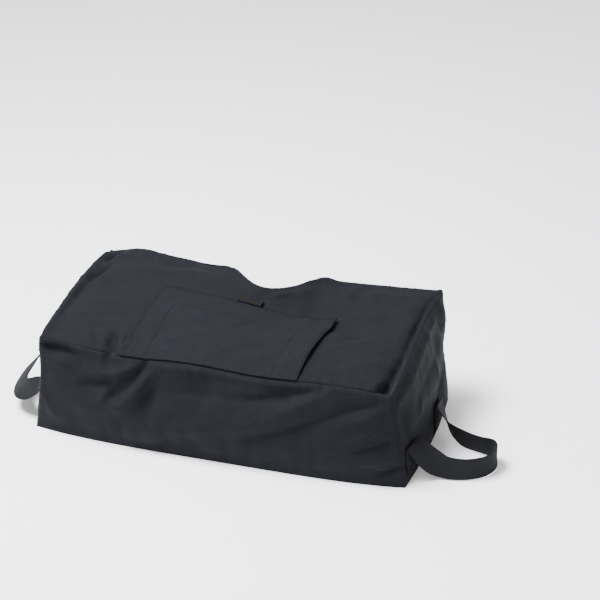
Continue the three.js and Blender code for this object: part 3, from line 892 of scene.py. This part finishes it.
(fx0, fx1), (fy0, fy1) = flap["x"], flap["y"]
outerLine, innerLine = flap["margin"], flap["margin"] + flap["tape"]
sideY = (-112, fy1 - innerLine - 0.4)
closures = {
    "left": ((fx0 + outerLine, fx0 + innerLine), sideY),
    "right": ((fx1 - innerLine, fx1 - outerLine), sideY),
    "rear": ((fx0 + outerLine, fx1 - outerLine), (fy1 - innerLine, fy1 - outerLine)),
}
for side, (u, v) in closures.items():
    names = (side + "OpeningLoopTape", side + "_opening_loop_tape")
    closureTape(*names, u, v, lambda a, b: flap["loopLift"], loopFinish, "loop_tape", "bag")
    names = (side + "FlapHookTape", side + "_flap_hook_tape")
    closureTape(*names, u, v, hookRise, hookFinish, "hook_tape", "flap")
print("flap and its tapes laid")

tab = {"x": (-17, 23), "reach": 22, "cloth": 0.0013}


def tabRise(u, v):
    out = (v - fy1) / tab["reach"]
    return 3.4 - 2.2 * out + 0.8 * math.sin(math.pi * out) + 0.4 * math.sin(u / 9)


def tabUpperRise(u, v):
    return tabRise(u, v) + 1.6 * (1 - clamp01((v - fy1) / tab["reach"]) ** 4)


def addTab(name, rise, nodes):
    us = spread(*tab["x"], 5, (1.5,))
    vs = spread(fy1 + 0.6, fy1 + 0.4 + tab["reach"], 4, (1.2,))
    piece = makePiece(name, clothSheet("top", us, vs, rise), tabFinish, None, nodes)
    addThickness(piece, tab["cloth"])
    addSmoothing(piece)
    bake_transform(piece)


addTab("pullTab", tabUpperRise, ["pull_tab"])
addTab("pullTabUnder", tabRise, ())

strip = {"band": (131, 177.6), "tape": (134, 172), "inset": 3, "bandCloth": 0.0011, "tapeCloth": 0.0016}
stripEnds = {"left": (-288, -72), "right": (106, 288)}


def addStrip(side, tapeName, tapeNode, material):
    ends, (low, high) = stripEnds[side], strip["band"]
    us, vs = spread(*ends, 6, (1.5, 4)), spread(low, high, 5, (1.5, 4))

    def bandRise(u, v):
        edge = min(u - ends[0], ends[1] - u, v - low)
        turned = 0.5 * clamp01(1 - abs(edge - 3) / 3.5)
        return 1.4 + turned - 0.5 * math.exp(-(edge / 1.5) ** 2)

    shape = clothSheet("rear", us, vs, bandRise)
    band = makePiece(side + "StripBand", shape, shellFinish, "bag", [side + "_strip_backing"])
    addThickness(band, strip["bandCloth"])
    addSmoothing(band)
    u, v = (ends[0] + strip["inset"], ends[1] - strip["inset"]), strip["tape"]

    def tapeRise(a, b):
        edge = min(a - u[0], u[1] - a, b - v[0], v[1] - b)
        return 3.5 - 0.7 * math.exp(-(edge / 1.6) ** 2)

    shape = clothSheet("rear", spread(*u, 6, (1.5,)), spread(*v, 5, (1.5,)), tapeRise)
    tape = makePiece(tapeName, shape, material, "bag", [tapeNode])
    addThickness(tape, strip["tapeCloth"])
    addSmoothing(tape)


addStrip("left", "rearHookStrip", "rear_hook_strip", hookFinish)
addStrip("right", "rearLoopStrip", "rear_loop_strip", loopFinish)
print("rear strips sewn on")

# ---- Handles ----

handle = {"width": 38, "cloth": 0.0019, "rings": 72, "across": 8, "anchorTop": 64, "anchorBottom": 14}
anchors = {"front": -99, "rear": 15}
# Height of the middle of the right handle where it stands on its edge on the floor
standing = 19.8
# How far out past the base, the place across the bag, the height, the turn from flat, and the lean
handleRoutes = {
    "right": [
        (11, -99, 53, 12, 0), (21, -98, 42, 38, 0), (44, -92, 23, 80, 0), (78, -87, standing, 90, 0),
        (105, -71, standing, 90, 0), (117, -44, standing, 90, 0), (109, -22, standing, 98, 0),
        (86, -16, standing, 104, 0),
        (56, -8, 22, 102, 0), (35, 1, 32, 118, 0), (21, 11, 50, 146, 0), (15, 14, 62, 170, 0),
    ],
    "left": [
        (10, -99, 59, 14, 8), (19, -100, 54, 36, 20), (33, -98, 46, 66, 36), (50, -87, 40, 84, 46),
        (60, -68, 40, 90, 47), (60, -46, 46, 94, 47), (57, -24, 53, 96, 44), (50, -4, 60, 102, 38),
        (39, 8, 65, 118, 24), (27, 13, 68, 148, 10),
    ],
}


def handleEnd(side, y):
    outer = side * 302.4
    high, half = handle["anchorTop"], handle["width"] / 2
    centre = settle(outer, y, high) * 1000 + Vector((side * 2.4, 0, 2.4))
    wall = settle(outer, y + half, high) - settle(outer, y - half, high)
    return centre, wall.normalized()


def curvePoint(points, place):
    # A smooth curve through the points, by the square root of their spacing
    last = len(points) - 1
    span = min(int(place * last), last - 1)
    t = place * last - span
    p1, p2 = points[span], points[span + 1]
    p0 = points[span - 1] if span > 0 else 2 * p1 - p2
    p3 = points[span + 2] if span + 2 <= last else 2 * p2 - p1
    d0, d1, d2 = ((b - a).length ** 0.5 or 1 for a, b in ((p0, p1), (p1, p2), (p2, p3)))
    m1 = ((p1 - p0) / d0 - (p2 - p0) / (d0 + d1) + (p2 - p1) / d1) * d1
    m2 = ((p2 - p1) / d1 - (p3 - p1) / (d1 + d2) + (p3 - p2) / d2) * d1
    ends = (2 * t ** 3 - 3 * t ** 2 + 1) * p1 + (t ** 3 - 2 * t ** 2 + t) * m1
    return ends + (3 * t ** 2 - 2 * t ** 3) * p2 + (t ** 3 - t ** 2) * m2


def handleSections(name, side):
    # Along the loop: the middle of the strap, the ways across and along it, and the length so far
    front, frontWall = handleEnd(side, anchors["front"])
    rear, rearWall = handleEnd(side, anchors["rear"])
    route = handleRoutes[name]
    points = [front] + [Vector((side * (300 + out), y, z)) for out, y, z, _, _ in route] + [rear]
    turns = [0] + [facts[3] for facts in route] + [180]
    leans = [0] + [facts[4] for facts in route] + [0]
    sections, run = [], 0.0
    for number in range(handle["rings"] + 1):
        t = number / handle["rings"]
        here = curvePoint(points, t)
        along = (curvePoint(points, min(t + 0.004, 1)) - curvePoint(points, max(t - 0.004, 0))).normalized()
        span = min(int(t * (len(turns) - 1)), len(turns) - 2)
        part = t * (len(turns) - 1) - span
        turn = math.radians(turns[span] + (turns[span + 1] - turns[span]) * part)
        lean = math.radians(leans[span] + (leans[span + 1] - leans[span]) * part)
        upright = Vector((-side * math.sin(lean), 0, math.cos(lean)))
        across = frontWall.lerp(rearWall, t) * math.cos(turn) + upright * math.sin(turn)
        across = (across - along * across.dot(along)).normalized()
        if sections:
            run += (here - sections[-1][0]).length
        sections.append((here, across, along, run))
    return sections


def addHandle(name, side):
    shape = bmesh.new()
    rings, wide = handle["rings"], handle["width"]
    bmesh.ops.create_grid(shape, x_segments=handle["across"], y_segments=rings, size=1)
    pattern = shape.loops.layers.uv.new("flatPattern")
    sections = handleSections(name, side)
    places = {vert: (vert.co.x, round((vert.co.y + 1) / 2 * rings)) for vert in shape.verts}
    for near in shape.faces:
        for loop in near.loops:
            off, number = places[loop.vert]
            loop[pattern].uv = (off * wide / 2000, sections[number][3] / 1000)
    for vert, (off, number) in places.items():
        here, across, along, run = sections[number]
        normal = along.cross(across).normalized()
        cup = 0.7 * (off * off - 0.4) * math.sin(math.pi * number / rings)
        ripple = 0.5 * noise.noise((run / 30, off * 1.5, 6.0 if side > 0 else 16.0))
        vert.co = (here + across * (off * (wide / 2 - 0.2)) + normal * (cup + ripple)) / 1000
        vert.co.z = max(vert.co.z, 0.0008)
    piece = makePiece(name + "Handle", shape, webbingFinish, name + "_handle", [name + "_handle"])
    addThickness(piece, handle["cloth"])
    addSmoothing(piece)
    ends = [name + "FrontSewnEnd", name + "RearSewnEnd"]
    sections[-1][3] / 1000
    for end, (place, y) in zip(ends, anchors.items()):
        us = spread(y - 18.8, y + 18.8, 5, (1.5,))
        vs = spread(handle["anchorBottom"], handle["anchorTop"] + 1, 5, (1.5,))
        sewn, node = clothSheet(name, us, vs, lambda u, v: 1.8), f"{name}_handle_{place}_sewn_end"
        piece = makePiece(end, sewn, webbingFinish, "bag", [node])
        addThickness(piece, handle["cloth"])
        addSmoothing(piece)


addHandle("left", -1)
addHandle("right", 1)
print("handles sewn on")


# ---- Bindings inside the bag ----

def joined(shapes):
    whole = bmesh.new()
    for shape in shapes:
        mesh = bpy.data.meshes.new("part")
        shape.to_mesh(mesh)
        shape.free()
        whole.from_mesh(mesh)
        bpy.data.meshes.remove(mesh)
    return whole


binding = {"inset": 4.4, "low": (3.2, 13.8), "high": (166.2, 176.8), "cloth": 0.0012}


def bindingDepth(face, u, v):
    # Less deep in the notch, where the sand lies close behind the wall
    tight = 2.1 * notchCut(u) / bag["notch"]["depth"] if face == "rear" else 0.0
    return tight - binding["inset"] - 0.4 * noise.noise((u / 12, v / 12, 1.0))


def bindingBand(face, u, v):
    return clothSheet(face, spread(*u, 10), spread(*v, 3), lambda a, b: bindingDepth(face, a, b))


def addBinding(name, node, bands):
    shapes = [bindingBand(*band) for band in bands]
    piece = makePiece(name, joined(shapes), bindingFinish, "bag", [node])
    addThickness(piece, binding["cloth"])


runs = {"front": (-292, 292), "rear": (-292, 292), "left": (-124, 124), "right": (-124, 124)}
for name, band in (("bottom", binding["low"]), ("top", binding["high"])):
    bands = [(face, u, band) for face, u in runs.items()]
    addBinding(name + "SeamBinding", name + "_seam_binding", bands)
for end in ("left", "right"):
    for place, side in (("front", -1), ("rear", 1)):
        name, node = f"{end}{place.capitalize()}SeamBinding", f"{end}_{place}_seam_binding"
        addBinding(name, node, [(end, sorted((side * 126, side * 115.4)), (15, 165))])


def addOpeningBinding():
    lines = []
    for low, high in (bag["opening"]["x"], bag["opening"]["y"]):
        lines.append([low - 10, low - 5] + spread(low + 0.4, high - 0.4, 8) + [high + 5, high + 10])
    shape = clothSheet("top", *lines, lambda u, v: -2.6, (bag["opening"]["x"], bag["opening"]["y"]))
    piece = makePiece("openingBinding", shape, bindingFinish, "bag", ["opening_binding"])
    addThickness(piece, 0.0011)


addOpeningBinding()
print("bindings sewn in")

# ---- Liners, their ties and the sand ----

liner = {
    "left": ((-291, 15), (-44, -64)), "right": ((19, 291), (59, -64)),
    "y": (-121.4, 121.4), "z": (2.0, 155.4), "rise": 4, "step": 9, "pleats": 11,
}
neckRings = [(-3, 16), (0, 12.5), (3.5, 11), (7, 12.5), (11, 17)]
tie = {
    "turns": 2, "height": 5.6, "pitch": 2.1, "reach": 13.8, "cord": 0.0011,
    "knot": 0.0028, "knotPlace": (0, -16, 6.6),
}


def neckPull(x, y, centre):
    # Cloth near the neck is drawn in toward it, pleated, and stands up through the tie
    dx, dy = x - centre[0], y - centre[1]
    off, turn = math.hypot(dx, dy), math.atan2(dy, dx)
    pleat = 2.0 * math.sin(turn * liner["pleats"]) * math.exp(-((off - 22) / 20) ** 2)
    return liner["rise"] * math.exp(-(off / 30) ** 2) + 0.6 * pleat + 0.8


def beyond(value, low, high):
    # How far a value lies past its range drawn in by 1 mm at each end
    past = value - min(max(value, low + 1), high - 1)
    return past if abs(past) > 0.5 else 0.0


def slicedBox(box):
    shape = bmesh.new()
    middle = Vector([(low + high) / 2 for low, high in box])
    size = Matrix.Diagonal((*(high - low for low, high in box), 1))
    bmesh.ops.create_cube(shape, size=1, matrix=Matrix.Translation(middle) @ size)
    for axis, (low, high) in enumerate(box):
        for at in spread(low, high, liner["step"])[1:-1]:
            plane, normal = middle.copy(), Vector((0, 0, 0))
            plane[axis], normal[axis] = at, 1
            whole = list(shape.verts) + list(shape.edges) + list(shape.faces)
            bmesh.ops.bisect_plane(shape, geom=whole, plane_co=plane, plane_no=normal, dist=0.001)
    return shape


def linerPlace(place, box, centre):
    # The liner hangs a little slack and rounded inside the shell, and its top is drawn up to the neck
    x, y, z = place
    (z0, z1), gaps = box[2], sorted(min(value - low, high - value) for value, (low, high) in zip(place, box))
    corner = 0.6 * math.exp(-(gaps[1] / 7) ** 2)
    slackness = 0.7 + 0.3 * noise.noise((x / 24, y / 24, z / 24))
    outer = Vector([beyond(value, *ends) for value, ends in zip(place, box)])
    spot = place + outer * (slackness * clamp01((z - z0 - 6) / 40) - corner)
    rise = neckPull(x, y, centre) if z > z1 - 0.5 else 0.0
    spot.z = max(spot.z + rise, 2.0)
    return settle(*spot)


def addNeck(side, base):
    neck = bmesh.new()
    bmesh.ops.create_cone(neck, segments=44, radius1=16, radius2=16, depth=1, cap_ends=False)
    bmesh.ops.subdivide_edges(neck, edges=[one for one in neck.edges if one.calc_length() < 1.01], cuts=3)
    heights = sorted({round(vert.co.z, 3) for vert in neck.verts})
    pattern = neck.loops.layers.uv.new("flatPattern")
    for near in neck.faces:
        for loop in near.loops:
            x, y, z = loop.vert.co
            loop[pattern].uv = (math.atan2(y, x) * 0.012, z * 0.014)
    for vert in neck.verts:
        rise, reach = neckRings[heights.index(round(vert.co.z, 3))]
        turn = math.atan2(vert.co.y, vert.co.x)
        reach += 1.5 * math.sin(turn * liner["pleats"]) + 0.5 * noise.noise((turn * 3, rise / 5, 3.0))
        vert.co = (base + Vector((math.cos(turn) * reach, math.sin(turn) * reach, rise + 3))) / 1000
    collar = makePiece(side + "LinerNeck", neck, linerFinish, "bag", ())
    addThickness(collar, 0.0008)


def addNeckTie(side, base):
    shape = bmesh.new()
    upright = Matrix.Rotation(math.pi / 2, 4, "X")
    for turn in range(tie["turns"]):
        at = (base + Vector((0, 0, tie["height"] + tie["pitch"] * turn))) / 1000
        start = Matrix.Translation(at + Vector((tie["reach"] / 1000, 0, 0))) @ upright
        profile = bmesh.ops.create_circle(shape, segments=10, radius=tie["cord"], matrix=start)["verts"]
        edges = list({one for vert in profile for one in vert.link_edges})
        settings = {"cent": at, "axis": (0, 0, 1), "angle": 2 * math.pi, "steps": 40, "use_merge": True}
        bmesh.ops.spin(shape, geom=profile + edges, **settings)
    bmesh.ops.remove_doubles(shape, verts=shape.verts, dist=0.00001)
    knot = bmesh.ops.create_uvsphere(shape, u_segments=12, v_segments=8, radius=tie["knot"])
    bmesh.ops.translate(shape, verts=knot["verts"], vec=(base + Vector(tie["knotPlace"])) / 1000)
    bmesh.ops.recalc_face_normals(shape, faces=shape.faces)
    makePiece(side + "NeckTie", shape, cordFinish, "bag", [side + "_neck_tie"])


def addLiner(side):
    ends, centre = liner[side]
    box = (ends, liner["y"], liner["z"])
    shape = slicedBox(box)
    pattern = shape.loops.layers.uv.new("flatPattern")
    for near in shape.faces:
        facing = max(range(3), key=lambda axis: abs(near.normal[axis]))
        first, second = [axis for axis in range(3) if axis != facing]
        for loop in near.loops:
            loop[pattern].uv = (loop.vert.co[first] / 1000, loop.vert.co[second] / 1000)
    for vert in shape.verts:
        vert.co = linerPlace(vert.co, box, centre)
    piece = makePiece(side + "Liner", shape, linerFinish, "bag", [side + "_liner"])
    base = settle(*centre, liner["z"][1]) * 1000
    addNeck(side, base)
    addNeckTie(side, base)


addLiner("left")
addLiner("right")
for name in ("left_sand_fill", "right_sand_fill"):
    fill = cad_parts[name]
    fill.data.materials.clear()
    fill.data.materials.append(sandFinish)
print("liners filled and tied")

# ---- Stitching ----

stitch = {"long": 3.0, "gap": 1.5, "wide": 0.0008, "tall": 0.0006}


def addStitch(shape, face, start, end, lift):
    # One stitch between two places on a panel's flat pattern
    spots = []
    for u, v in (start, end):
        aside = flapSkew(u, v) if face == "top" else 0.0
        spots.append(onPanel(face, u + aside, v, lift(u, v)))
    along = (spots[1] - spots[0]).normalized()
    across = outward[face].cross(along).normalized()
    turn = Matrix((along, across, along.cross(across))).transposed().to_4x4()
    size = Matrix.Diagonal(((spots[1] - spots[0]).length, stitch["wide"], stitch["tall"], 1))
    at = Matrix.Translation((spots[0] + spots[1]) / 2)
    bmesh.ops.create_cube(shape, size=1, matrix=at @ turn @ size)


def addStitches(name, body, lines):
    shape = bmesh.new()
    for face, corners, lift in lines:
        for (u0, v0), (u1, v1) in zip(corners, corners[1:]):
            long = math.hypot(u1 - u0, v1 - v0)
            count = max(1, int(long / (stitch["long"] + stitch["gap"])))
            reach = stitch["long"] / long / 2
            for number in range(count):
                middle = (number + 0.5) / count
                ends = [(u0 + (u1 - u0) * t, v0 + (v1 - v0) * t) for t in (middle - reach, middle + reach)]
                addStitch(shape, face, *ends, lift)
    short = [one for one in shape.edges if one.calc_length() < 0.0009]
    bmesh.ops.bevel(
        shape, geom=short, offset=0.00022, affect="EDGES", segments=1, profile=0.5, material=-1)
    return makePiece(name, shape, stitchFinish, body)


def coverTop(u, v):
    return flapRise(u, v, flap["coverLift"], True) + 0.75


def stripTop(u, v):
    return 4.0


def handleTop(u, v):
    return 3.2


flapLines = []
for inset in (4, *flap["stitched"]):
    x0, x1, y1 = fx0 + inset, fx1 - inset, fy1 - inset
    near = fy0 + 4
    flapLines.append(("top", [(x0, near), (x0, y1), (x1, y1), (x1, near)], coverTop))
flapStitching = addStitches("flapStitching", None, flapLines)
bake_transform(flapStitching)
shellLines = []
for u0, u1 in stripEnds.values():
    low, high = (u0 + 6, strip["tape"][0] + 3), (u1 - 6, strip["tape"][1] - 3)
    corners = [low, (high[0], low[1]), high, (low[0], high[1]), low]
    shellLines.append(("rear", corners, stripTop))
for side in ("left", "right"):
    for y in anchors.values():
        y0, y1, z0, z1 = y - 14, y + 14, 18, 46
        shellLines.append((side, [(y0, z0), (y1, z0), (y1, z1), (y0, z1), (y0, z0), (y1, z1)], handleTop))
        shellLines.append((side, [(y1, z0), (y0, z1)], handleTop))
addStitches("shellStitching", "bag", shellLines)
print("stitched")
